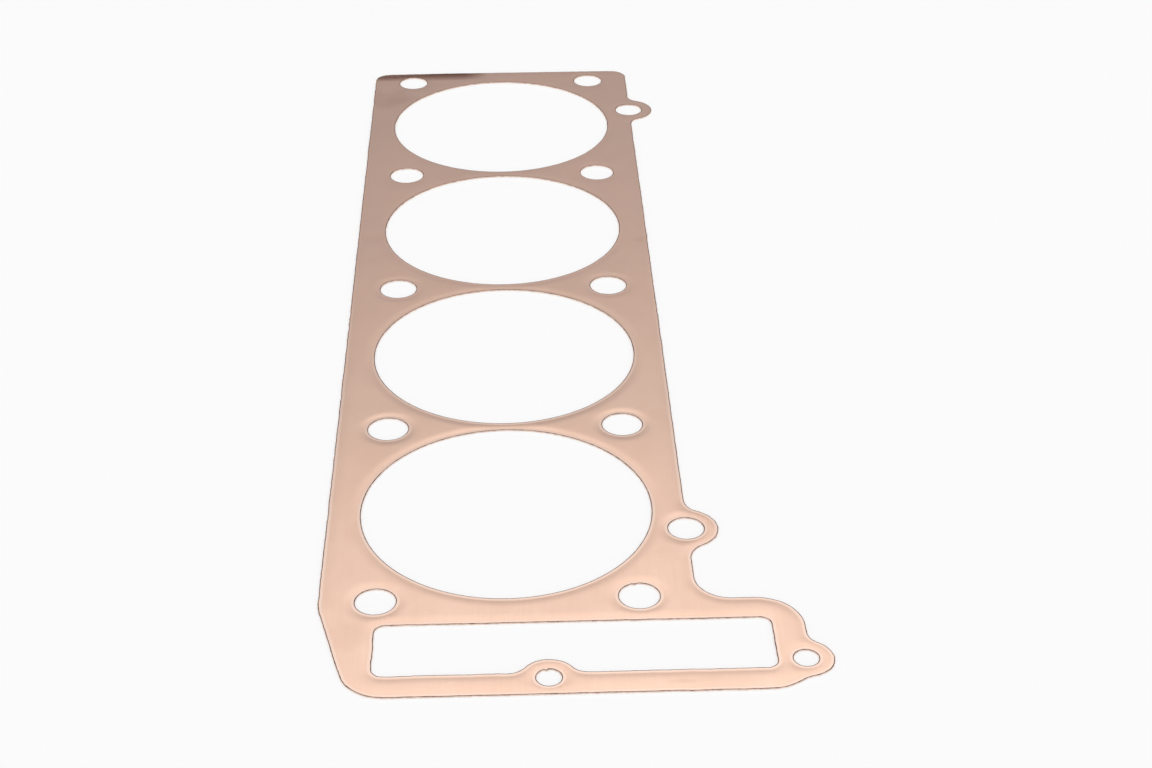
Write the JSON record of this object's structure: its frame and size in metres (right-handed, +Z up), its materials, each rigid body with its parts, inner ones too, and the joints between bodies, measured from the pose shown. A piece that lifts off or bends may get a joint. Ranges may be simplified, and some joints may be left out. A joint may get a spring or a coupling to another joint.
{
  "type": "cylinder base gasket",
  "caption": "Flat copper gasket sheet for an in-line engine, with a row of large cylinder openings, stud holes, side tabs and a long chain tunnel at one end.",
  "frame": {"origin": "centre of the cylinder opening beside the chain tunnel, on the sheet's underside", "axes": "+Y along the row of cylinders, from the chain tunnel towards the plain end; +X across the row, towards the two side tabs; +Z up, out of the face whose edges are rolled down"},
  "size_m": [0.1403, 0.4073, 0.0005],
  "materials": {
    "copper": "plain soft copper sheet, satin, with faint rolling grain"
  },
  "bodies": {
    "root": {"gasket_sheet": "copper"}
  },
  "joints": []
}
